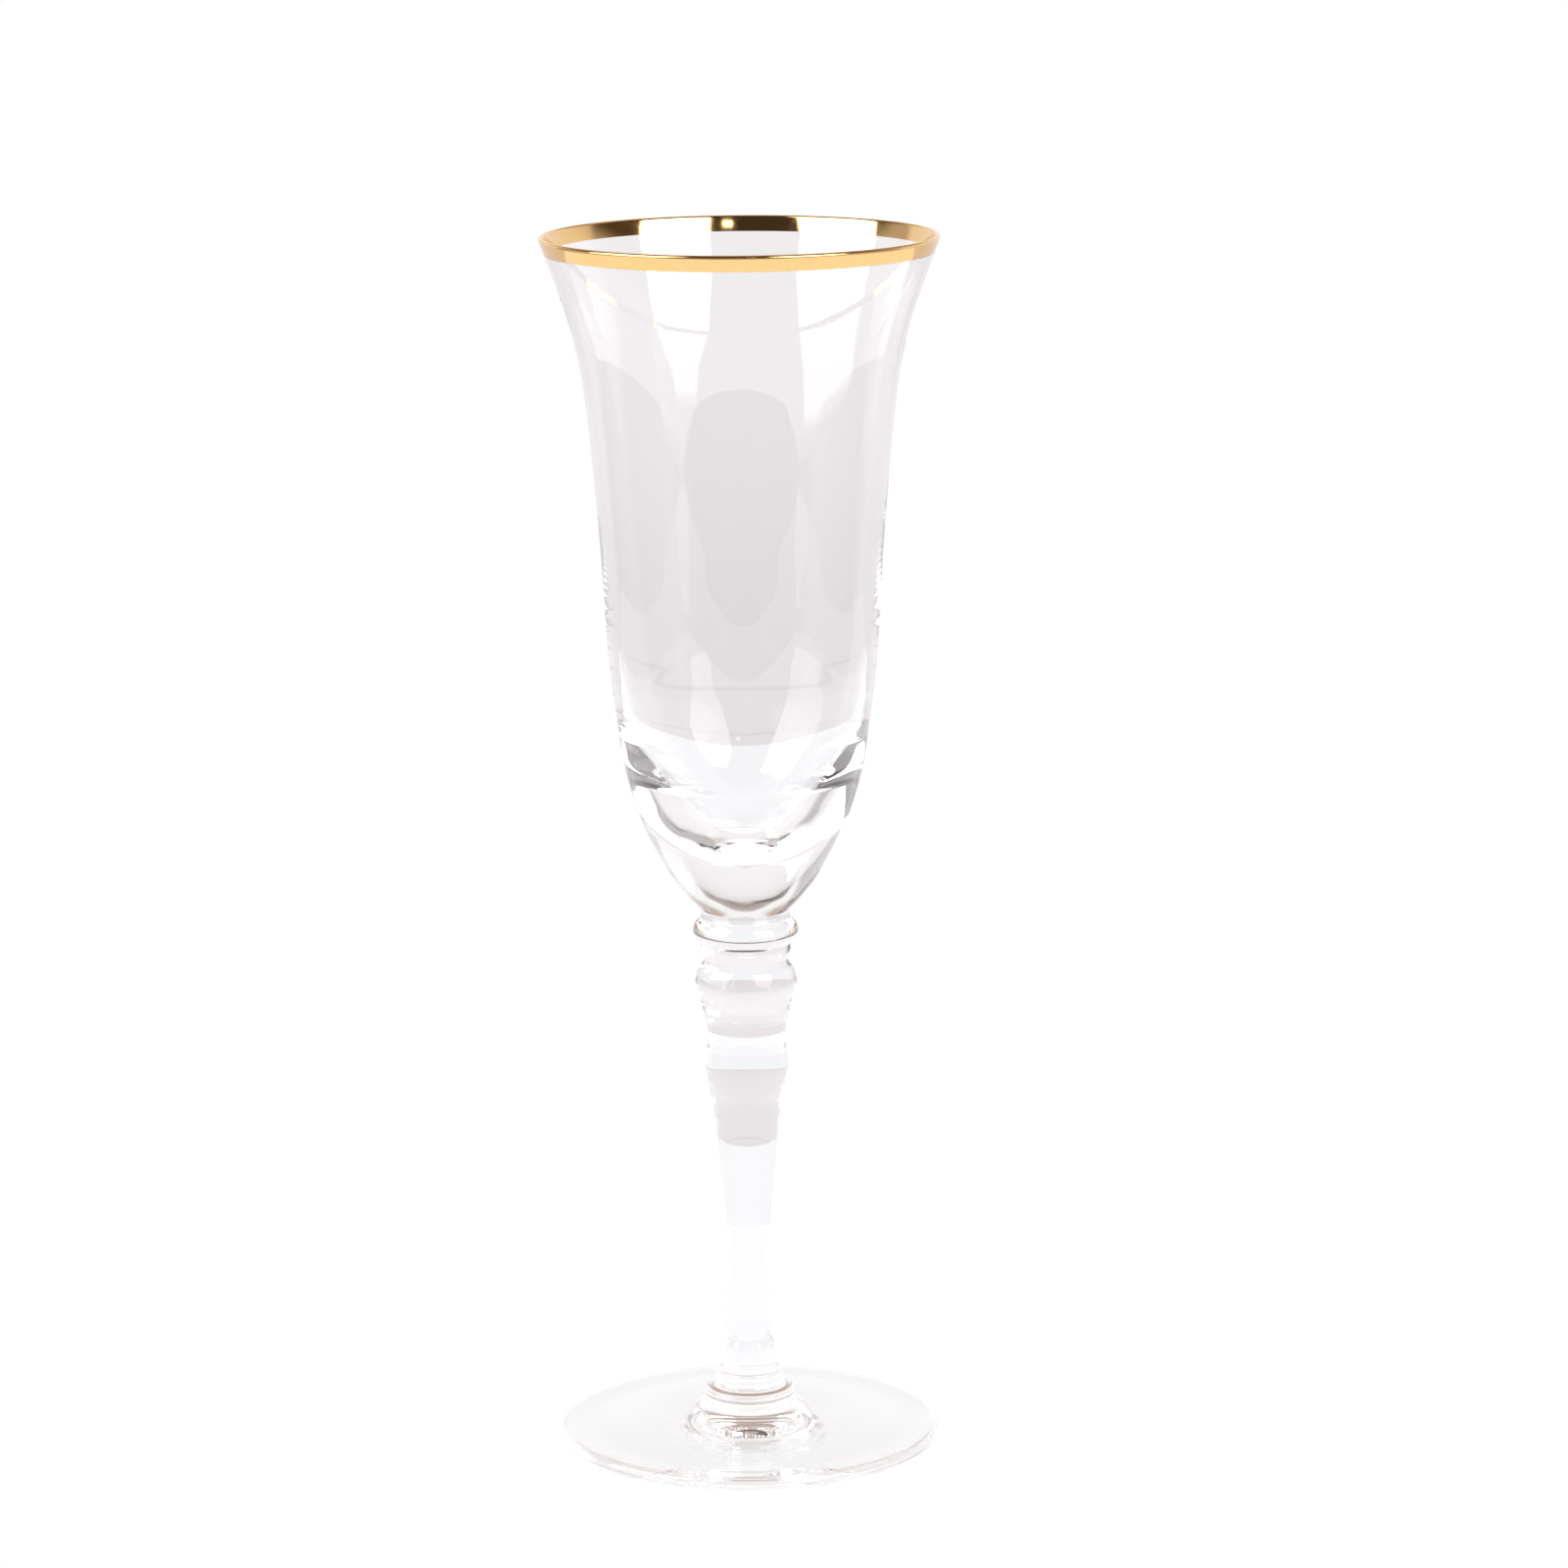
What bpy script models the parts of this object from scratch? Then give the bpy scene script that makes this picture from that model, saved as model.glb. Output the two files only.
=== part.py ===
"""Champagne flute: a blown bowl with a gold-banded lip, on a stem of fused beads and a round foot.

Run with blender --background --python part.py, or from Blender's text editor.
Metres, +Z up. The origin is the centre of the standing ring under the foot, on the table top.
Every piece is a solid of revolution about Z. The pieces are stacked from the foot to the lip, and
each one ends a thin weld gap away from the next.
"""
import math

import bpy
from mathutils import Vector
from mathutils.geometry import interpolate_bezier

# ---- Driving dimensions -------------------------------------------------------------------------

HEIGHT = 0.2300             # table to the top of the lip
RIM_RADIUS = 0.0370         # widest radius of the bowl, at the lip
RIM_THICKNESS = 0.0014      # wall at the lip, gold film included
RIM_FLARE = 0.37            # how far the wall leans out for each metre it rises, at the lip
FOOT_RADIUS = 0.03625
FOOT_EDGE_THICKNESS = 0.00265

GOLD_THICKNESS = 0.00015
GOLD_DEPTH_OUTSIDE = 0.0030     # from the top of the lip down to the band's outer edge
GOLD_DEPTH_INSIDE = 0.0029
WELD_GAP = 0.0003               # left between one piece and the next

BOWL_FLOOR = 0.1150             # inside bottom of the bowl
STANDING_RING_INNER = 0.0300    # the flat ring that the foot stands on
STANDING_RING_OUTER = 0.0346
FOOT_HOLLOW_RISE = 0.00115      # how far the underside rises in the middle

# Each weld between two pieces: its height and its radius.
BOWL_WELD = (0.1030, 0.0081)
RING_WELD = (0.0965, 0.0084)
KNOP_WELD = (0.0932, 0.0077)
SHANK_WELD = (0.0815, 0.0077)
POST_WELD = (0.0195, 0.00445)
COLLAR_WELD = (0.0136, 0.0049)
FOOT_WELD = (0.0073, 0.0084)

SEGMENTS = 40               # flat facets round every turned piece
SPAN_STEPS = 2              # points in each span between two knots of a side
ARC_STEPS = 4               # points in the half-round edge of the foot
LIP_STEPS = 2               # points in each quarter of the lip
MERGE_DISTANCE = 0.000001

# ---- Derived values -----------------------------------------------------------------------------

LIP_RADIUS = RIM_THICKNESS / 2
RIM_LEAN = math.atan(RIM_FLARE)
LIP_CENTRE = (RIM_RADIUS - LIP_RADIUS, HEIGHT - LIP_RADIUS)
FILM_TO_GLASS = GOLD_THICKNESS + WELD_GAP
GOLD_OUTER_EDGE = HEIGHT - GOLD_DEPTH_OUTSIDE
GOLD_INNER_EDGE = HEIGHT - GOLD_DEPTH_INSIDE
FOOT_EDGE_RADIUS = FOOT_EDGE_THICKNESS / 2


# ---- Scene, materials and turned solids ---------------------------------------------------------

def clear_scene():
    for item in list(bpy.data.objects):
        bpy.data.objects.remove(item)


def make_material(name, colour, roughness, metallic, transmission):
    material = bpy.data.materials.new(name)
    material.use_nodes = True
    shader = material.node_tree.nodes["Principled BSDF"]
    shader.inputs["Base Color"].default_value = (*colour, 1.0)
    shader.inputs["Roughness"].default_value = roughness
    shader.inputs["Metallic"].default_value = metallic
    shader.inputs["Transmission Weight"].default_value = transmission
    return material


def turn(name, profile, closed, material, collection):
    """Turn a profile of (radius, height) points about Z. The outer side runs top to bottom."""
    points = [(radius, 0.0, height) for radius, height in profile]
    edges = [(index, index + 1) for index in range(len(points) - 1)]
    if closed:
        edges.append((len(points) - 1, 0))
    mesh = bpy.data.meshes.new(name)
    mesh.from_pydata(points, edges, [])
    mesh.materials.append(material)
    piece = bpy.data.objects.new(name, mesh)
    collection.objects.link(piece)
    screw = piece.modifiers.new("turned about the axis", "SCREW")
    screw.axis = "Z"
    screw.angle = math.tau
    screw.steps = SEGMENTS
    screw.render_steps = SEGMENTS
    screw.use_merge_vertices = True
    screw.merge_threshold = MERGE_DISTANCE
    screw.use_smooth_shade = True
    return piece


# ---- Outlines -----------------------------------------------------------------------------------

def smooth_side(knots):
    """A smooth curve through (radius, height) knots, each tangent parallel to its neighbours."""
    points = [Vector((radius, 0.0, height)) for radius, height in knots]
    last = len(points) - 1
    headings = []
    for index in range(len(points)):
        before = points[max(index - 1, 0)]
        after = points[min(index + 1, last)]
        headings.append((after - before).normalized())
    side = [points[0]]
    for index in range(last):
        start = points[index]
        end = points[index + 1]
        reach = (end - start).length / 3
        leaving = start + headings[index] * reach
        arriving = end - headings[index + 1] * reach
        side += interpolate_bezier(start, leaving, arriving, end, SPAN_STEPS + 1)[1:]
    return [(point.x, point.z) for point in side]


def arc_about(centre, radius, first_angle, last_angle, steps=ARC_STEPS):
    """An arc about a (radius, height) centre, angles in degrees from +X towards +Z."""
    arc = []
    for step in range(steps + 1):
        angle = math.radians(first_angle + (last_angle - first_angle) * step / steps)
        arc.append((centre[0] + radius * math.cos(angle), centre[1] + radius * math.sin(angle)))
    return arc


def above(weld):
    """Where the piece over a weld ends."""
    return weld[1], weld[0] + WELD_GAP / 2


def below(weld):
    """Where the piece under a weld ends."""
    return weld[1], weld[0] - WELD_GAP / 2


def solid_of(side):
    """A side from top to bottom, closed to the axis at both ends."""
    return [(0.0, side[0][1])] + side + [(0.0, side[-1][1])]


def lip_wall_outside(inset, height):
    """Radius of the leaning wall at the lip, a given inset in from its outer surface."""
    middle = LIP_CENTRE[0] - RIM_FLARE * (LIP_CENTRE[1] - height)
    return middle + (LIP_RADIUS - inset) / math.cos(RIM_LEAN)


def lip_wall_inside(inset, height):
    middle = LIP_CENTRE[0] - RIM_FLARE * (LIP_CENTRE[1] - height)
    return middle - (LIP_RADIUS - inset) / math.cos(RIM_LEAN)


def over_the_lip(radius):
    """The arc over the lip, from inside to outside, met squarely by the leaning wall."""
    lean = math.degrees(RIM_LEAN)
    inside_to_top = arc_about(LIP_CENTRE, radius, 180.0 - lean, 90.0, LIP_STEPS)
    top_to_widest = arc_about(LIP_CENTRE, radius, 90.0, 0.0, LIP_STEPS)
    widest_to_wall = arc_about(LIP_CENTRE, radius, 0.0, -lean, 1)
    return inside_to_top + top_to_widest[1:] + widest_to_wall[1:]


# ---- The pieces ---------------------------------------------------------------------------------

def gold_band_profile():
    """A thin film folded over the lip, like an upside-down gutter."""
    outer_face = over_the_lip(LIP_RADIUS)
    outer_face.insert(0, (lip_wall_inside(0.0, GOLD_INNER_EDGE), GOLD_INNER_EDGE))
    outer_face.append((lip_wall_outside(0.0, GOLD_OUTER_EDGE), GOLD_OUTER_EDGE))
    glass_face = over_the_lip(LIP_RADIUS - GOLD_THICKNESS)
    glass_face.reverse()
    glass_face.insert(0, (lip_wall_outside(GOLD_THICKNESS, GOLD_OUTER_EDGE), GOLD_OUTER_EDGE))
    glass_face.append((lip_wall_inside(GOLD_THICKNESS, GOLD_INNER_EDGE), GOLD_INNER_EDGE))
    return outer_face + glass_face


def bowl_profile():
    """Thick solid base, thin flaring wall, and a lip set back under the gold on both sides."""
    outer_step = GOLD_OUTER_EDGE - WELD_GAP
    inner_step = GOLD_INNER_EDGE - WELD_GAP
    inside = smooth_side([
        (0.0000, BOWL_FLOOR),
        (0.0052, BOWL_FLOOR + 0.0011),
        (0.0108, BOWL_FLOOR + 0.0048),
        (0.0158, BOWL_FLOOR + 0.0112),
        (0.0199, BOWL_FLOOR + 0.0195),
        (0.02235, 0.1450),
        (0.02408, 0.1580),
        (0.02523, 0.1720),
        (0.02647, 0.1862),
        (0.02773, 0.1992),
        (0.02955, 0.2100),
        (0.03150, 0.2170),
        (lip_wall_inside(0.0, inner_step), inner_step),
    ])
    outside = smooth_side([
        (lip_wall_outside(0.0, outer_step), outer_step),
        (0.03257, 0.2170),
        (0.03062, 0.2100),
        (0.02880, 0.1992),
        (0.02749, 0.1862),
        (0.02635, 0.1720),
        (0.02555, 0.1580),
        (0.0240, 0.1420),
        (0.0222, 0.1300),
        (0.0191, 0.1200),
        (0.0149, 0.1115),
        (0.0109, 0.1060),
        above(BOWL_WELD),
    ])
    inner_setback = [(lip_wall_inside(FILM_TO_GLASS, inner_step), inner_step)]
    lip = over_the_lip(LIP_RADIUS - FILM_TO_GLASS)
    outer_setback = [(lip_wall_outside(FILM_TO_GLASS, outer_step), outer_step)]
    base = [(0.0, outside[-1][1])]
    return inside + inner_setback + lip + outer_setback + outside + base


def merese_ring_profile():
    """The wide ring that carries the bowl: a long upper slope and a short undercut."""
    return solid_of(smooth_side([
        below(BOWL_WELD),
        (0.0085, 0.1017),
        (0.0094, 0.1006),
        (0.0099, 0.0992),
        (0.0096, 0.0980),
        above(RING_WELD),
    ]))


def neck_bead_profile():
    return solid_of(smooth_side([below(RING_WELD), (0.0085, 0.0951), above(KNOP_WELD)]))


def stem_knop_profile():
    """A rounded knop, drawn in sharply at its top and slowly at its foot."""
    return solid_of(smooth_side([
        below(KNOP_WELD),
        (0.0094, 0.0904),
        (0.0096, 0.0889),
        (0.0094, 0.0873),
        (0.0083, 0.0840),
        above(SHANK_WELD),
    ]))


def stem_shank_profile():
    """A narrow waist, a soft swelling, and a long taper to the slimmest part of the stem."""
    return solid_of(smooth_side([
        below(SHANK_WELD),
        (0.0074, 0.0780),
        (0.00785, 0.0727),
        (0.0066, 0.0655),
        (0.00565, 0.0584),
        (0.00462, 0.0463),
        (0.0042, 0.0400),
        (0.00405, 0.0300),
        above(POST_WELD),
    ]))


def foot_post_profile():
    return solid_of(smooth_side([below(POST_WELD), (0.00495, 0.0168), above(COLLAR_WELD)]))


def foot_collar_profile():
    """Two stacked rounded rings, the lower one wider."""
    return solid_of(smooth_side([
        below(COLLAR_WELD),
        (0.0061, 0.0129),
        (0.0062, 0.0112),
        (0.0067, 0.0101),
        (0.0083, 0.0095),
        (0.0086, 0.0084),
        above(FOOT_WELD),
    ]))


def foot_profile():
    """A round foot: flared boss, shallow cone, rounded edge, and a hollow inside a flat ring."""
    edge_centre = (FOOT_RADIUS - FOOT_EDGE_RADIUS, FOOT_EDGE_RADIUS)
    top = smooth_side([
        below(FOOT_WELD),
        (0.0094, 0.0061),
        (0.0112, 0.0052),
        (0.0150, 0.0045),
        (0.0240, 0.0035),
        (edge_centre[0], FOOT_EDGE_THICKNESS),
    ])
    edge = arc_about(edge_centre, FOOT_EDGE_RADIUS, 90.0, -90.0)[1:-1]
    hollow = smooth_side([
        (STANDING_RING_INNER, 0.0),
        (STANDING_RING_INNER / 2, FOOT_HOLLOW_RISE * 0.75),
        (0.0, FOOT_HOLLOW_RISE),
    ])
    return [(0.0, top[0][1])] + top + edge + [(STANDING_RING_OUTER, 0.0)] + hollow


def build():
    clear_scene()
    collection = bpy.data.collections.new("champagne_flute")
    bpy.context.scene.collection.children.link(collection)
    glass = make_material("clear_glass", (0.93, 0.93, 0.94), 0.02, 0.0, 1.0)
    gold = make_material("fired_gold", (0.83, 0.58, 0.26), 0.12, 1.0, 0.0)
    turn("gold_rim_band", gold_band_profile(), True, gold, collection)
    glass_pieces = {
        "bowl": bowl_profile(),
        "merese_ring": merese_ring_profile(),
        "neck_bead": neck_bead_profile(),
        "stem_knop": stem_knop_profile(),
        "stem_shank": stem_shank_profile(),
        "foot_post": foot_post_profile(),
        "foot_collar": foot_collar_profile(),
        "foot": foot_profile(),
    }
    for name, profile in glass_pieces.items():
        turn(name, profile, False, glass, collection)


build()
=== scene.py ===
"""Looks of the champagne flute: clear blown glass with a fired gold lip, in a plain pale studio.

A finer piece stands in for each CAD piece, with the same outer outline. The glass pieces meet face
to face at their welds, and those hidden faces are see-through, as fused glass is.
"""
import math

import bpy
import numpy as np
from mathutils import Matrix, Vector
from mathutils.geometry import interpolate_bezier


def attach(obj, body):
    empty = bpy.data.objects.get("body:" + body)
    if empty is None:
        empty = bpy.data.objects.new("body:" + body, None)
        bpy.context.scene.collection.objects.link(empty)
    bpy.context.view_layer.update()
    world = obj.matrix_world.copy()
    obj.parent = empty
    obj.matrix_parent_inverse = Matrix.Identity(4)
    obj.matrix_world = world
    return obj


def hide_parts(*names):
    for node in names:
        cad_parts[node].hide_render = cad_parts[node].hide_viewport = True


# ---- Sizes of the glass, in metres --------------------------------------------------------------

HEIGHT = 0.2300
RIM_RADIUS = 0.0370
RIM_THICKNESS = 0.0010
RIM_FLARE = 0.37
FOOT_RADIUS = 0.03625
FOOT_EDGE_THICKNESS = 0.00265
GOLD_THICKNESS = 0.00015
GOLD_CLEARANCE = 0.00003
GOLD_DEPTH_OUTSIDE = 0.0030
GOLD_DEPTH_INSIDE = 0.0029
BOWL_FLOOR = 0.1150
STANDING_RING_INNER = 0.0300
STANDING_RING_OUTER = 0.0346
FOOT_HOLLOW_RISE = 0.00115
FOOT_HOLLOW_FULLNESS = 0.75     # share of that rise reached halfway in

# Each weld between two pieces: its radius and its height.
BOWL_WELD = (0.0081, 0.1030)
RING_WELD = (0.0084, 0.0965)
KNOP_WELD = (0.0077, 0.0932)
SHANK_WELD = (0.0077, 0.0815)
POST_WELD = (0.00445, 0.0195)
COLLAR_WELD = (0.0049, 0.0136)
FOOT_WELD = (0.0084, 0.0073)

LIP_RADIUS = RIM_THICKNESS / 2
RIM_LEAN = math.atan(RIM_FLARE)
LIP_CENTRE = (RIM_RADIUS - LIP_RADIUS, HEIGHT - LIP_RADIUS)
GOLD_OUTER_EDGE = HEIGHT - GOLD_DEPTH_OUTSIDE
GOLD_INNER_EDGE = HEIGHT - GOLD_DEPTH_INSIDE
GLASS_UNDER_GOLD = GOLD_THICKNESS + GOLD_CLEARANCE
FOOT_EDGE_RADIUS = FOOT_EDGE_THICKNESS / 2

# How finely the meshes are cut.
SPAN_STEPS = 12                 # points in each span between two knots of a side
ARC_STEPS = 16                  # points in each rounded edge
BOWL_SEGMENTS = 320
STEM_SEGMENTS = 128
CORNER_ANGLE = math.radians(40)     # a crease sharper than this is not smoothed over
ON_AXIS = 1e-7                  # a point nearer to the axis than this is on it


# ---- Outlines -----------------------------------------------------------------------------------

def smooth_side(knots):
    """A smooth curve through (radius, height) knots, which starts and ends exactly on a knot."""
    points = [Vector((radius, 0.0, height)) for radius, height in knots]
    last = len(points) - 1
    headings = []
    for index in range(len(points)):
        before = points[max(index - 1, 0)]
        after = points[min(index + 1, last)]
        headings.append((after - before).normalized())
    side = [points[0]]
    for index in range(last):
        start = points[index]
        end = points[index + 1]
        reach = (end - start).length / 3
        leaving = start + headings[index] * reach
        arriving = end - headings[index + 1] * reach
        side += interpolate_bezier(start, leaving, arriving, end, SPAN_STEPS + 1)[1:]
    between = [(point.x, point.z) for point in side[1:-1]]
    return [knots[0]] + between + [knots[-1]]


def half_round(centre, radius, first_angle, last_angle):
    """An arc about a (radius, height) centre, angles in degrees from +X towards +Z."""
    arc = []
    for step in range(ARC_STEPS + 1):
        angle = math.radians(first_angle + (last_angle - first_angle) * step / ARC_STEPS)
        arc.append((centre[0] + radius * math.cos(angle), centre[1] + radius * math.sin(angle)))
    return arc


def lip_wall_outside(inset, height):
    """Radius of the leaning wall at the lip, a given inset in from its outer surface."""
    middle = LIP_CENTRE[0] - RIM_FLARE * (LIP_CENTRE[1] - height)
    return middle + (LIP_RADIUS - inset) / math.cos(RIM_LEAN)


def lip_wall_inside(inset, height):
    """The same for its inner surface."""
    middle = LIP_CENTRE[0] - RIM_FLARE * (LIP_CENTRE[1] - height)
    return middle - (LIP_RADIUS - inset) / math.cos(RIM_LEAN)


def over_the_lip(radius):
    """The arc over the lip, from inside to outside, met squarely by the leaning wall."""
    lean = math.degrees(RIM_LEAN)
    return half_round(LIP_CENTRE, radius, 180.0 - lean, -lean)


# ---- Meshes -------------------------------------------------------------------------------------

def revolve(name, profile, segments, closed=False, weld_heights=()):
    """A mesh turned about Z. Flat faces at the weld heights take the second material."""
    angles = np.arange(segments) * math.tau / segments
    vertices = []
    rings = []
    for radius, height in profile:
        if radius < ON_AXIS:
            rings.append([len(vertices)])
            vertices.append((0.0, 0.0, height))
            continue
        rings.append(list(range(len(vertices), len(vertices) + segments)))
        for angle in angles:
            vertices.append((radius * math.sin(angle), -radius * math.cos(angle), height))
    faces = []
    welded = []
    pairs = list(zip(range(len(rings) - 1), range(1, len(rings))))
    if closed:
        pairs.append((len(rings) - 1, 0))
    for first, second in pairs:
        flat = profile[first][1] == profile[second][1]
        at_weld = flat and profile[first][1] in weld_heights
        for step in range(segments):
            after = (step + 1) % segments
            if len(rings[first]) == 1:
                face = (rings[first][0], rings[second][step], rings[second][after])
            elif len(rings[second]) == 1:
                face = (rings[first][step], rings[second][0], rings[first][after])
            else:
                face = (
                    rings[first][step],
                    rings[second][step],
                    rings[second][after],
                    rings[first][after],
                )
            faces.append(face)
            welded.append(1 if at_weld else 0)
    mesh = bpy.data.meshes.new(name)
    mesh.from_pydata(vertices, [], faces)
    mesh.polygons.foreach_set("material_index", welded)
    mesh.shade_smooth()
    mesh.set_sharp_from_angle(angle=CORNER_ANGLE)
    piece = bpy.data.objects.new(name, mesh)
    bpy.context.scene.collection.objects.link(piece)
    return piece


# ---- The pieces ---------------------------------------------------------------------------------

def gold_band():
    """A thin film folded over the lip, like an upside-down gutter."""
    outer = over_the_lip(LIP_RADIUS)
    outer.insert(0, (lip_wall_inside(0.0, GOLD_INNER_EDGE), GOLD_INNER_EDGE))
    outer.append((lip_wall_outside(0.0, GOLD_OUTER_EDGE), GOLD_OUTER_EDGE))
    under = over_the_lip(LIP_RADIUS - GOLD_THICKNESS)
    under.reverse()
    under.insert(0, (lip_wall_outside(GOLD_THICKNESS, GOLD_OUTER_EDGE), GOLD_OUTER_EDGE))
    under.append((lip_wall_inside(GOLD_THICKNESS, GOLD_INNER_EDGE), GOLD_INNER_EDGE))
    return revolve("gold_rim_film", outer + under, BOWL_SEGMENTS, closed=True)


def bowl():
    """Thick solid base, thin flaring wall, and a lip set back under the gold on both sides."""
    inside = smooth_side([
        (0.0000, BOWL_FLOOR),
        (0.0052, BOWL_FLOOR + 0.0011),
        (0.0108, BOWL_FLOOR + 0.0048),
        (0.0158, BOWL_FLOOR + 0.0112),
        (0.0199, BOWL_FLOOR + 0.0195),
        (0.02235, 0.1450),
        (0.02356, 0.1530),
        (0.02408, 0.1580),
        (0.02462, 0.1645),
        (0.02523, 0.1720),
        (0.02585, 0.1790),
        (0.02647, 0.1862),
        (0.02707, 0.1930),
        (0.02773, 0.1992),
        (0.02855, 0.2051),
        (0.02955, 0.2100),
        (0.03150, 0.2170),
        (lip_wall_inside(0.0, GOLD_INNER_EDGE), GOLD_INNER_EDGE),
    ])
    lip = over_the_lip(LIP_RADIUS - GLASS_UNDER_GOLD)
    outside = smooth_side([
        (lip_wall_outside(0.0, GOLD_OUTER_EDGE), GOLD_OUTER_EDGE),
        (0.03257, 0.2170),
        (0.03062, 0.2100),
        (0.02962, 0.2051),
        (0.02880, 0.1992),
        (0.02811, 0.1930),
        (0.02749, 0.1862),
        (0.02688, 0.1790),
        (0.02635, 0.1720),
        (0.02588, 0.1645),
        (0.02555, 0.1580),
        (0.02520, 0.1530),
        (0.02475, 0.1480),
        (0.0240, 0.1420),
        (0.0222, 0.1300),
        (0.0191, 0.1200),
        (0.0149, 0.1115),
        (0.0109, 0.1060),
        BOWL_WELD,
    ])
    inner_setback = [(lip_wall_inside(GLASS_UNDER_GOLD, GOLD_INNER_EDGE), GOLD_INNER_EDGE)]
    outer_setback = [(lip_wall_outside(GLASS_UNDER_GOLD, GOLD_OUTER_EDGE), GOLD_OUTER_EDGE)]
    base = [(0.0, BOWL_WELD[1])]
    profile = inside + inner_setback + lip + outer_setback + outside + base
    return revolve("bowl_glass", profile, BOWL_SEGMENTS, weld_heights=[BOWL_WELD[1]])


def stem_piece(name, knots):
    """A solid piece between two welds, which are its first and last knots."""
    top = knots[0][1]
    bottom = knots[-1][1]
    profile = [(0.0, top)] + smooth_side(knots) + [(0.0, bottom)]
    return revolve(name, profile, STEM_SEGMENTS, weld_heights=[top, bottom])


def stem_pieces():
    """The solid pieces from the ring under the bowl down to the collar on the foot."""
    made = {}
    made["merese_ring"] = stem_piece("merese_ring_glass", [
        BOWL_WELD,
        (0.0085, 0.1017),
        (0.0094, 0.1006),
        (0.0099, 0.0992),
        (0.0096, 0.0980),
        (0.0089, 0.0973),
        RING_WELD,
    ])
    made["neck_bead"] = stem_piece("neck_bead_glass", [
        RING_WELD,
        (0.00845, 0.0958),
        (0.0084, 0.0950),
        (0.0081, 0.0941),
        KNOP_WELD,
    ])
    made["stem_knop"] = stem_piece("stem_knop_glass", [
        KNOP_WELD,
        (0.0087, 0.0921),
        (0.0094, 0.0904),
        (0.0096, 0.0889),
        (0.0094, 0.0873),
        (0.0088, 0.0855),
        (0.0083, 0.0840),
        SHANK_WELD,
    ])
    made["stem_shank"] = stem_piece("stem_shank_glass", [
        SHANK_WELD,
        (0.0075, 0.0798),
        (0.0074, 0.0780),
        (0.0077, 0.0750),
        (0.00785, 0.0727),
        (0.0073, 0.0690),
        (0.0066, 0.0655),
        (0.0061, 0.0620),
        (0.00565, 0.0584),
        (0.00530, 0.0543),
        (0.00462, 0.0463),
        (0.0042, 0.0400),
        (0.00405, 0.0300),
        POST_WELD,
    ])
    made["foot_post"] = stem_piece("foot_post_glass", [
        POST_WELD,
        (0.00495, 0.0168),
        COLLAR_WELD,
    ])
    made["foot_collar"] = stem_piece("foot_collar_glass", [
        COLLAR_WELD,
        (0.0061, 0.0129),
        (0.0062, 0.0112),
        (0.0067, 0.0101),
        (0.0083, 0.0095),
        (0.0086, 0.0084),
        FOOT_WELD,
    ])
    return made


def foot():
    """Flared boss, shallow cone, rounded edge, and a hollow inside the ring that it stands on."""
    edge_centre = (FOOT_RADIUS - FOOT_EDGE_RADIUS, FOOT_EDGE_RADIUS)
    top = smooth_side([
        FOOT_WELD,
        (0.0094, 0.0061),
        (0.0112, 0.0052),
        (0.0150, 0.0045),
        (0.0240, 0.0035),
        (edge_centre[0], FOOT_EDGE_THICKNESS),
    ])
    edge = half_round(edge_centre, FOOT_EDGE_RADIUS, 90.0, -90.0)[1:-1]
    hollow = smooth_side([
        (STANDING_RING_INNER, 0.0),
        (STANDING_RING_INNER / 2, FOOT_HOLLOW_RISE * FOOT_HOLLOW_FULLNESS),
        (0.0, FOOT_HOLLOW_RISE),
    ])
    profile = [(0.0, FOOT_WELD[1])] + top + edge + [(STANDING_RING_OUTER, 0.0)] + hollow
    return revolve("foot_glass", profile, BOWL_SEGMENTS, weld_heights=[FOOT_WELD[1]])


# ---- Materials ----------------------------------------------------------------------------------

class Nodes:
    """Short calls for adding and linking the nodes of one material or world."""

    def __init__(self, tree):
        self.tree = tree
        self.tree.nodes.clear()

    def add(self, kind, inputs=None, **settings):
        node = self.tree.nodes.new(kind)
        for key, value in settings.items():
            setattr(node, key, value)
        for key, value in (inputs or {}).items():
            self.put(node.inputs[key], value)
        return node

    def put(self, socket, value):
        if isinstance(value, bpy.types.NodeSocket):
            self.tree.links.new(value, socket)
        else:
            socket.default_value = value

    def maths(self, operation, first, second=0.0, third=0.0):
        node = self.add("ShaderNodeMath", operation=operation)
        for socket, value in zip(node.inputs, (first, second, third)):
            self.put(socket, value)
        return node.outputs[0]

    def step(self, value, low, high):
        """Rises smoothly from 0 at low to 1 at high."""
        node = self.add("ShaderNodeMapRange", interpolation_type="SMOOTHSTEP")
        self.put(node.inputs["Value"], value)
        node.inputs["From Min"].default_value = low
        node.inputs["From Max"].default_value = high
        return node.outputs["Result"]

    def mirrored(self):
        """1 for light that a surface has mirrored on its way, and 0 for any other light."""
        path = self.add("ShaderNodeLightPath")
        return self.maths("GREATER_THAN", path.outputs["Glossy Depth"], 0.5)

    def mix(self, factor, first, second):
        node = self.add("ShaderNodeMix", data_type="RGBA")
        self.put(node.inputs["Factor"], factor)
        self.put(node.inputs[6], first)
        self.put(node.inputs[7], second)
        return node.outputs[2]


def rgb(red, green, blue):
    return (red, green, blue, 1.0)


WHITE = rgb(1.0, 1.0, 1.0)
GLASS_COLOUR = rgb(0.985, 0.98, 0.985)
GLASS_IOR = 1.51
RIPPLE_SCALE = 55.0
RIPPLE_DETAIL = 1.0
RIPPLE_DEPTH = 0.0004
RIPPLE_STRENGTH = 0.05
GOLD_LIGHT_COLOUR = rgb(0.90, 0.615, 0.28)
GOLD_DEEP_COLOUR = rgb(0.84, 0.545, 0.225)
GOLD_MOTTLE_SCALE = 900.0
GOLD_MOTTLE_DETAIL = 4.0
GOLD_ROUGHNESS = 0.04
GOLD_ROUGHNESS_SPREAD = 0.08


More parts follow.
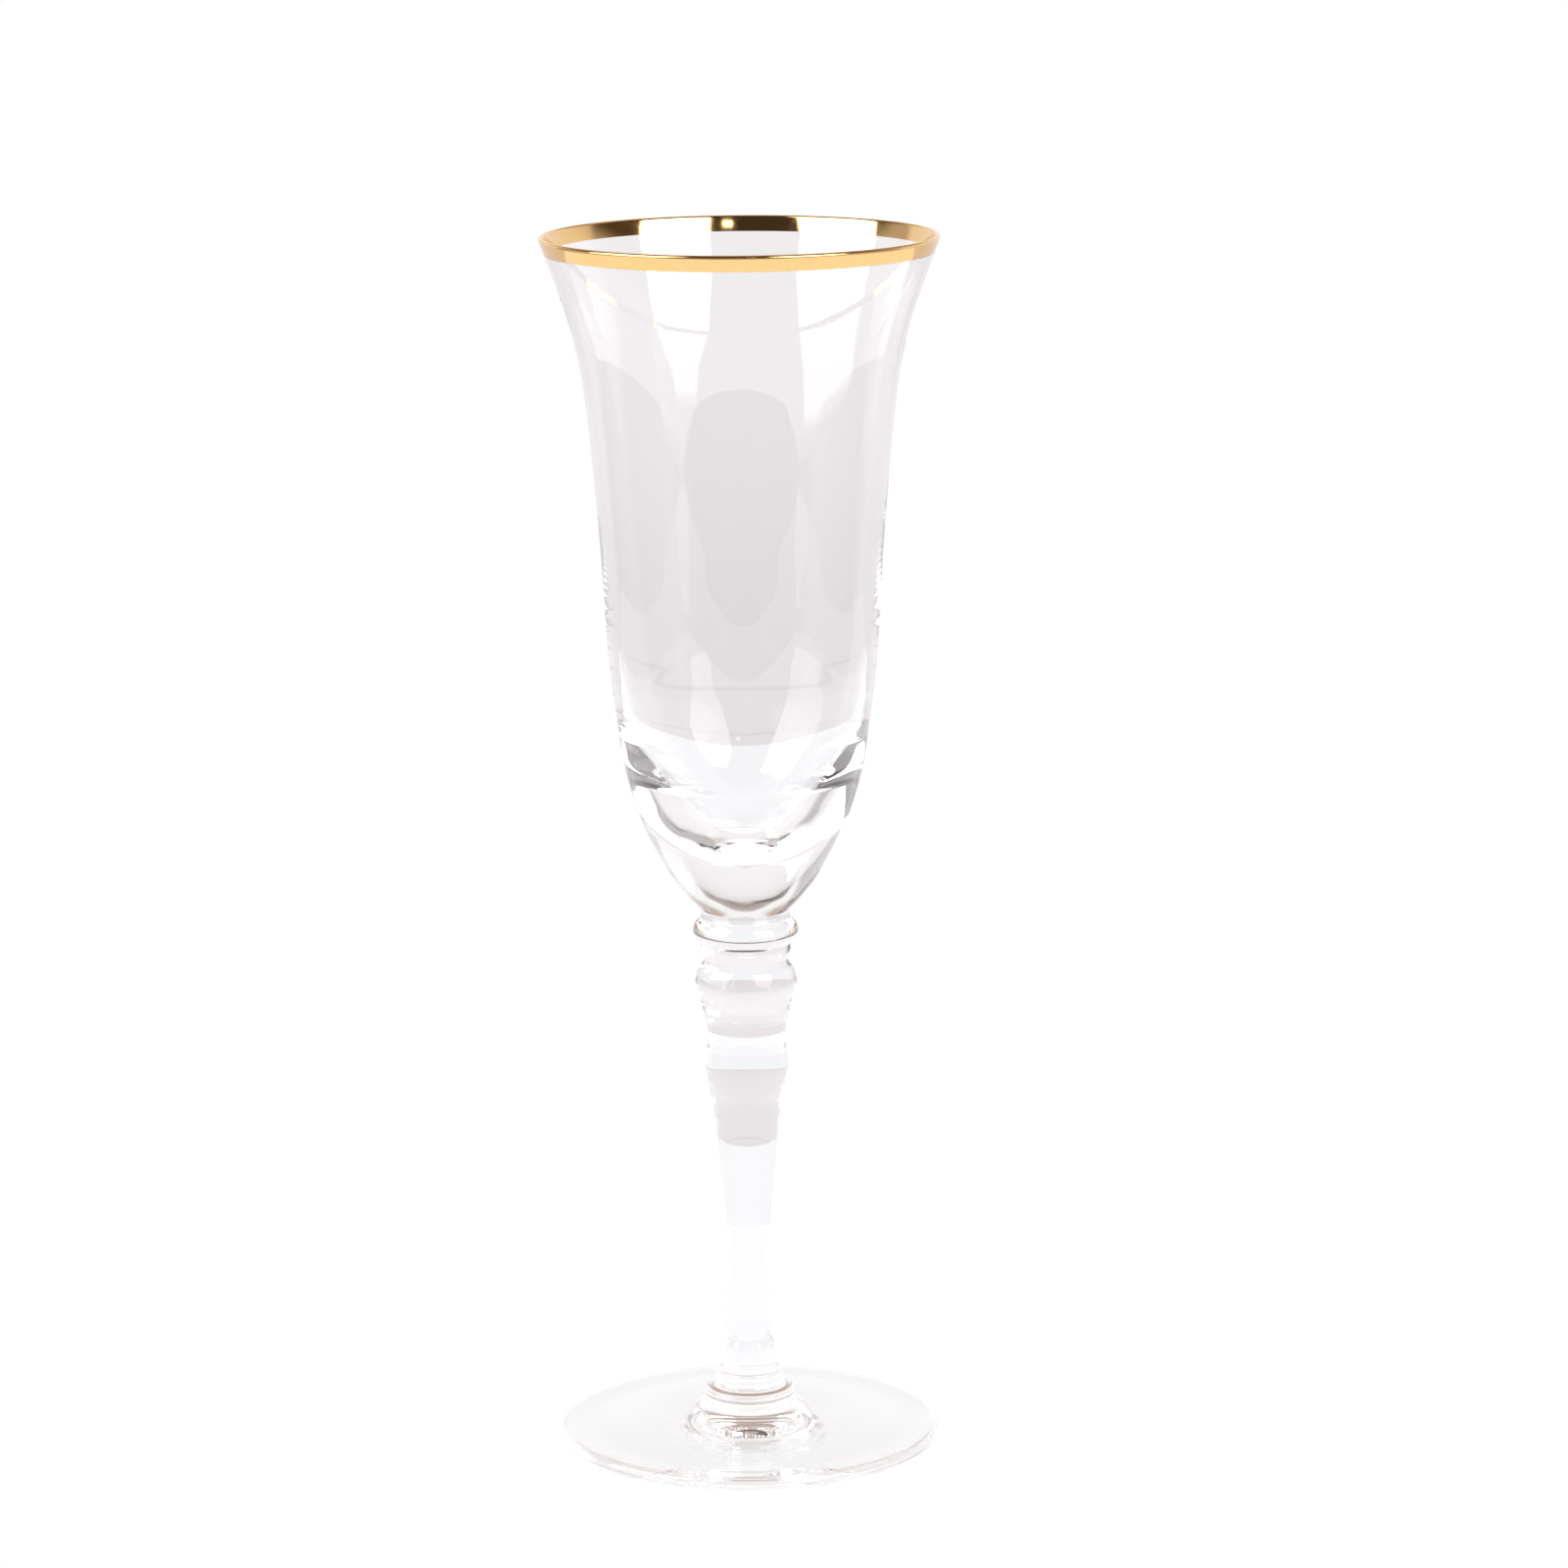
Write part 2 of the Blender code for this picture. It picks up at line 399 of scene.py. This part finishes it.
def glass_material():
    """Clear glass with the faint ripple of blown glass."""
    material = bpy.data.materials.new("clear_glass_look")
    material.use_nodes = True
    nodes = Nodes(material.node_tree)
    place = nodes.add("ShaderNodeTexCoord").outputs["Object"]
    ripple = nodes.add("ShaderNodeTexNoise", {
        "Vector": place,
        "Scale": RIPPLE_SCALE,
        "Detail": RIPPLE_DETAIL,
    })
    bump = nodes.add("ShaderNodeBump", {
        "Strength": RIPPLE_STRENGTH,
        "Distance": RIPPLE_DEPTH,
        "Height": ripple.outputs["Fac"],
    })
    shader = nodes.add("ShaderNodeBsdfPrincipled", {
        "Base Color": GLASS_COLOUR,
        "Roughness": 0.0,
        "IOR": GLASS_IOR,
        "Transmission Weight": 1.0,
        "Normal": bump.outputs["Normal"],
    })
    nodes.add("ShaderNodeOutputMaterial", {"Surface": shader.outputs[0]})
    return material


def weld_material():
    """For the faces hidden inside a weld: light passes as if they weren't there."""
    material = bpy.data.materials.new("fused_weld_look")
    material.use_nodes = True
    nodes = Nodes(material.node_tree)
    shader = nodes.add("ShaderNodeBsdfTransparent")
    nodes.add("ShaderNodeOutputMaterial", {"Surface": shader.outputs[0]})
    return material


def gold_material():
    """Fired gold, slightly mottled in colour and polish."""
    material = bpy.data.materials.new("fired_gold_look")
    material.use_nodes = True
    nodes = Nodes(material.node_tree)
    place = nodes.add("ShaderNodeTexCoord").outputs["Object"]
    mottle = nodes.add("ShaderNodeTexNoise", {
        "Vector": place,
        "Scale": GOLD_MOTTLE_SCALE,
        "Detail": GOLD_MOTTLE_DETAIL,
    })
    patch = mottle.outputs["Fac"]
    colour = nodes.mix(patch, GOLD_LIGHT_COLOUR, GOLD_DEEP_COLOUR)
    rough = nodes.maths("MULTIPLY_ADD", patch, GOLD_ROUGHNESS_SPREAD, GOLD_ROUGHNESS)
    shader = nodes.add("ShaderNodeBsdfPrincipled", {
        "Base Color": colour,
        "Metallic": 1.0,
        "Roughness": rough,
    })
    nodes.add("ShaderNodeOutputMaterial", {"Surface": shader.outputs[0]})
    return material


# ---- Stage, light and camera --------------------------------------------------------------------

# A white table of limited size: its edges and corners are what the bowl mirrors as pale ovals.
TABLE_CORNERS = (
    (-0.455, -0.440),
    (0.440, -0.440),
    (0.486, -0.373),
    (0.506, -0.307),
    (0.516, 0.345),
    (-0.520, 0.345),
    (-0.510, 0.000),
    (-0.500, -0.338),
)
TABLE_DROP = 0.0002             # keeps the table clear of the standing ring
TABLE_COLOUR = rgb(0.98, 0.99, 1.01)
TABLE_MIRRORED_COLOUR = rgb(1.17, 1.17, 1.17)

# The pale wall, as light that comes straight through the glass sees it. Its glow is painted light,
# darker towards the bottom and crossed by two thin dark lines.
WALL_DISTANCE = 0.75
WALL_BOTTOM = -0.60
WALL_TOP = 1.00
WALL_FACETS = 64
WALL_HEIGHTS = (-0.060, 0.195)      # it changes from its low to its high colour between these
WALL_LOW_COLOUR = rgb(0.82, 0.785, 0.80)
WALL_HIGH_COLOUR = rgb(0.97, 0.945, 0.945)
WALL_LINE_HEIGHTS = (-0.045, -0.129)
WALL_LINE_HALF_WIDTH = 0.0045
WALL_LINE_STRENGTH = 0.15
WALL_LINE_COLOUR = rgb(0.30, 0.27, 0.28)

# The studio that mirrored light sees. A RISE is a pair of elevations in degrees, and a change from
# one colour to the next lies between them. ANGLES are degrees round from the front.
WALL_RISE = (-15.5, -2.0)
WALL_SHADE_RISE = (14.0, 32.0)
WALL_SHADE_COLOUR = rgb(0.50, 0.38, 0.33)
WALL_CENTRE_OFFSET = 11.0
WALL_HALF_ANGLES = (113.0, 121.0)
FLOOR_TO_ROOM_RISE = (-10.0, -4.0)
FLOOR_FRONT_TO_SIDE = (-0.8, -0.45)     # in the north part of a direction of length 1
FLOOR_FRONT_COLOUR = rgb(0.17, 0.15, 0.16)
FLOOR_SIDE_COLOUR = rgb(0.50, 0.47, 0.48)
ROOM_FRONT_HALF_ANGLES = (52.0, 64.0)
ROOM_FRONT_RISE = (14.0, 24.0)
ROOM_FRONT_LOW_COLOUR = rgb(0.30, 0.28, 0.28)
ROOM_FRONT_HIGH_COLOUR = rgb(0.055, 0.042, 0.036)
ROOM_SIDE_RISE = (19.0, 27.0)
ROOM_SIDE_LOW_COLOUR = rgb(0.55, 0.52, 0.53)
ROOM_SIDE_HIGH_COLOUR = rgb(0.09, 0.06, 0.045)

# Each softbox: its corners in degrees, round from the front towards +X and up, anticlockwise.
SOFTBOXES = (
    (
        (35.0, 4.0),
        (52.0, 4.0),
        (60.0, 10.0),
        (67.0, 20.0),
        (69.0, 30.0),
        (66.0, 41.0),
        (38.0, 52.0),
        (19.0, 44.0),
        (19.0, 33.0),
        (24.0, 16.0),
    ),
    (
        (-96.0, 2.0),
        (-52.0, 2.0),
        (-48.0, 8.0),
        (-42.0, 26.0),
        (-39.0, 40.0),
        (-38.0, 56.0),
        (-60.0, 52.0),
        (-96.0, 46.0),
        (-98.0, 30.0),
    ),
    ((4.0, 36.2), (11.5, 36.2), (11.5, 39.5), (4.0, 39.5)),
)
SOFTBOX_RISE = (2.0, 30.0)
SOFTBOX_LOW_COLOUR = rgb(2.2, 2.25, 2.3)
SOFTBOX_HIGH_COLOUR = rgb(4.2, 4.2, 4.2)
SOFTBOX_EDGE = 0.8              # degrees over which a softbox fades in


def studio_floor():
    """The table: plain white to the camera, and a little tinted in what the glass shows of it."""
    mesh = bpy.data.meshes.new("pale_table")
    corners = [(east, north, -TABLE_DROP) for east, north in TABLE_CORNERS]
    mesh.from_pydata(corners, [], [range(len(corners))])
    floor = bpy.data.objects.new("pale_table", mesh)
    bpy.context.scene.collection.objects.link(floor)
    material = bpy.data.materials.new("pale_table_look")
    material.use_nodes = True
    nodes = Nodes(material.node_tree)
    seen_in_glass = nodes.mix(nodes.mirrored(), TABLE_COLOUR, TABLE_MIRRORED_COLOUR)
    path = nodes.add("ShaderNodeLightPath")
    colour = nodes.mix(path.outputs["Is Camera Ray"], seen_in_glass, WHITE)
    glow = nodes.add("ShaderNodeEmission", {"Color": colour})
    nodes.add("ShaderNodeOutputMaterial", {"Surface": glow.outputs[0]})
    mesh.materials.append(material)


def studio_wall():
    """A pale wall round the glass, glowing with painted light that is darker towards the bottom.
    Only light that comes straight through the glass sees it.
    """
    corners = []
    faces = []
    for facet in range(WALL_FACETS):
        angle = math.tau * facet / WALL_FACETS
        east = WALL_DISTANCE * math.sin(angle)
        north = WALL_DISTANCE * math.cos(angle)
        corners += [(east, north, WALL_BOTTOM), (east, north, WALL_TOP)]
        start = 2 * facet
        end = 2 * ((facet + 1) % WALL_FACETS)
        faces.append((start, end, end + 1, start + 1))
    mesh = bpy.data.meshes.new("pale_wall")
    mesh.from_pydata(corners, [], faces)
    wall = bpy.data.objects.new("pale_wall", mesh)
    bpy.context.scene.collection.objects.link(wall)
    material = bpy.data.materials.new("pale_wall_look")
    material.use_nodes = True
    material.cycles.emission_sampling = "NONE"
    nodes = Nodes(material.node_tree)
    place = nodes.add("ShaderNodeTexCoord").outputs["Object"]
    height = nodes.add("ShaderNodeSeparateXYZ", {"Vector": place}).outputs["Z"]
    # Painted light: the wall's glow darkens towards the bottom, and two thin dark lines cross it
    colour = nodes.mix(nodes.step(height, *WALL_HEIGHTS), WALL_LOW_COLOUR, WALL_HIGH_COLOUR)
    for line_height in WALL_LINE_HEIGHTS:
        away = nodes.maths("ABSOLUTE", nodes.maths("SUBTRACT", height, line_height))
        shade = nodes.step(away, WALL_LINE_HALF_WIDTH, 0.0)
        shade = nodes.maths("MULTIPLY", shade, WALL_LINE_STRENGTH)
        colour = nodes.mix(shade, colour, WALL_LINE_COLOUR)
    path = nodes.add("ShaderNodeLightPath")
    unmirrored = nodes.maths("SUBTRACT", 1.0, nodes.mirrored())
    through = nodes.maths("MULTIPLY", unmirrored, path.outputs["Is Transmission Ray"])
    clear = nodes.add("ShaderNodeBsdfTransparent")
    glow = nodes.add("ShaderNodeEmission", {"Color": colour})
    either = nodes.add("ShaderNodeMixShader", {"Fac": through})
    nodes.put(either.inputs[1], clear.outputs[0])
    nodes.put(either.inputs[2], glow.outputs[0])
    nodes.add("ShaderNodeOutputMaterial", {"Surface": either.outputs[0]})
    mesh.materials.append(material)


def inside_softbox(nodes, corners, round_angle, rise_angle):
    """1 for directions within the softbox and 0 outside, from how far each lies past its sides."""
    inside = 1.0
    for start, end in zip(corners, corners[1:] + corners[:1]):
        run = (end[0] - start[0], end[1] - start[1])
        length = math.hypot(*run)
        out = (run[1] / length, -run[0] / length)
        offset = -start[0] * out[0] - start[1] * out[1]
        beyond = nodes.maths("MULTIPLY_ADD", round_angle, out[0], offset)
        beyond = nodes.maths("MULTIPLY_ADD", rise_angle, out[1], beyond)
        inside = nodes.maths("MULTIPLY", inside, nodes.step(beyond, 0.0, -SOFTBOX_EDGE))
    return inside


def studio_in_mirrors(nodes, wall, north, round_angle, rise_angle):
    """A dark room in front with lighter sides, a floor, the pale wall behind, and softboxes."""
    front_rise = nodes.step(rise_angle, *ROOM_FRONT_RISE)
    room_front = nodes.mix(front_rise, ROOM_FRONT_LOW_COLOUR, ROOM_FRONT_HIGH_COLOUR)
    side_rise = nodes.step(rise_angle, *ROOM_SIDE_RISE)
    room_side = nodes.mix(side_rise, ROOM_SIDE_LOW_COLOUR, ROOM_SIDE_HIGH_COLOUR)
    sideways = nodes.maths("ABSOLUTE", round_angle)
    room = nodes.mix(nodes.step(sideways, *ROOM_FRONT_HALF_ANGLES), room_front, room_side)
    floor_side = nodes.step(north, *FLOOR_FRONT_TO_SIDE)
    floor = nodes.mix(floor_side, FLOOR_FRONT_COLOUR, FLOOR_SIDE_COLOUR)
    ahead = nodes.mix(nodes.step(rise_angle, *FLOOR_TO_ROOM_RISE), floor, room)
    behind = nodes.mix(nodes.step(rise_angle, *WALL_SHADE_RISE), wall, WALL_SHADE_COLOUR)
    aside = nodes.maths("ABSOLUTE", nodes.maths("ADD", round_angle, WALL_CENTRE_OFFSET))
    studio = nodes.mix(nodes.step(aside, *WALL_HALF_ANGLES), ahead, behind)
    lit = nodes.mix(nodes.step(rise_angle, *SOFTBOX_RISE), SOFTBOX_LOW_COLOUR, SOFTBOX_HIGH_COLOUR)
    for corners in SOFTBOXES:
        inside = inside_softbox(nodes, corners, round_angle, rise_angle)
        studio = nodes.mix(inside, studio, lit)
    return studio


def studio_world():
    """Plain white to the camera, the studio to mirrored light, and the wall to any other light."""
    world = bpy.data.worlds.new("pale_studio")
    bpy.context.scene.world = world
    world.use_nodes = True
    nodes = Nodes(world.node_tree)
    direction = nodes.add("ShaderNodeTexCoord").outputs["Generated"]
    split = nodes.add("ShaderNodeSeparateXYZ", {"Vector": direction})
    north = split.outputs["Y"]
    towards_front = nodes.maths("MULTIPLY", north, -1.0)
    round_turn = nodes.maths("ARCTAN2", split.outputs["X"], towards_front)
    round_angle = nodes.maths("DEGREES", round_turn)
    rise_angle = nodes.maths("DEGREES", nodes.maths("ARCSINE", split.outputs["Z"]))
    wall = nodes.mix(nodes.step(rise_angle, *WALL_RISE), WALL_LOW_COLOUR, WALL_HIGH_COLOUR)
    studio = studio_in_mirrors(nodes, wall, north, round_angle, rise_angle)
    seen_in_glass = nodes.mix(nodes.mirrored(), wall, studio)
    path = nodes.add("ShaderNodeLightPath")
    colour = nodes.mix(path.outputs["Is Camera Ray"], seen_in_glass, WHITE)
    background = nodes.add("ShaderNodeBackground", {"Color": colour})
    nodes.add("ShaderNodeOutputWorld", {"Surface": background.outputs[0]})


CAMERA_DISTANCE = 1.03856       # from the glass's axis, level
CAMERA_HEIGHT = 0.33614
CAMERA_PITCH = 0.19885          # radians down from level
CAMERA_TURN = 0.00718           # radians to the right of the axis
CAMERA_ROLL = -0.00797          # radians
CAMERA_LENS = 129.69            # millimetres, as is the sensor's width
CAMERA_SENSOR = 36.0
CAMERA_CLIP_START = 0.01


def studio_camera():
    """In front of the glass and above its lip, looking a little down."""
    camera = bpy.data.objects.new("camera", bpy.data.cameras.new("camera"))
    bpy.context.scene.collection.objects.link(camera)
    camera.data.lens = CAMERA_LENS
    camera.data.sensor_width = CAMERA_SENSOR
    camera.data.clip_start = CAMERA_CLIP_START
    forward = Vector((
        math.sin(CAMERA_TURN) * math.cos(CAMERA_PITCH),
        math.cos(CAMERA_TURN) * math.cos(CAMERA_PITCH),
        -math.sin(CAMERA_PITCH),
    ))
    right = Vector((math.cos(CAMERA_TURN), -math.sin(CAMERA_TURN), 0.0))
    up = right.cross(forward)
    turned_right = right * math.cos(CAMERA_ROLL) + up * math.sin(CAMERA_ROLL)
    turned_up = turned_right.cross(forward)
    spin = Matrix((turned_right, turned_up, -forward)).transposed()
    camera.matrix_world = Matrix.Translation((0.0, -CAMERA_DISTANCE, CAMERA_HEIGHT)) @ spin.to_4x4()
    bpy.context.scene.camera = camera


# ---- Everything together ------------------------------------------------------------------------

# Light that enters the bowl's wall is mirrored inside it many times before it gets out.
LIGHT_BOUNCES = 160
CLEAR_BOUNCES = 40


def put_in_frame(piece, node, materials):
    """Gives a piece its materials and its place as the stand-in for a CAD node."""
    for material in materials:
        piece.data.materials.append(material)
    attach(piece, "root")
    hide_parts(node)


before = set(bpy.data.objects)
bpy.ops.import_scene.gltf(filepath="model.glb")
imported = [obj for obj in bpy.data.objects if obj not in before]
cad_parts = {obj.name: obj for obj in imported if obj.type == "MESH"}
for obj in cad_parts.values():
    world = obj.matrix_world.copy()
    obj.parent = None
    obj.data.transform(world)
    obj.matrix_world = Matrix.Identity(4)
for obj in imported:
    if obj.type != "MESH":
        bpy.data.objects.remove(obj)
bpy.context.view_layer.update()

scene = bpy.context.scene
scene.view_settings.view_transform = "Standard"
scene.view_settings.look = "None"
scene.cycles.max_bounces = LIGHT_BOUNCES
scene.cycles.glossy_bounces = LIGHT_BOUNCES
scene.cycles.transmission_bounces = LIGHT_BOUNCES
scene.cycles.transparent_max_bounces = CLEAR_BOUNCES

glass_look = glass_material()
weld_look = weld_material()
gold_look = gold_material()

put_in_frame(gold_band(), "gold_rim_band", [gold_look])
put_in_frame(bowl(), "bowl", [glass_look, weld_look])
for node_name, stem_part in stem_pieces().items():
    put_in_frame(stem_part, node_name, [glass_look, weld_look])
put_in_frame(foot(), "foot", [glass_look, weld_look])

studio_floor()
studio_wall()
studio_world()
studio_camera()
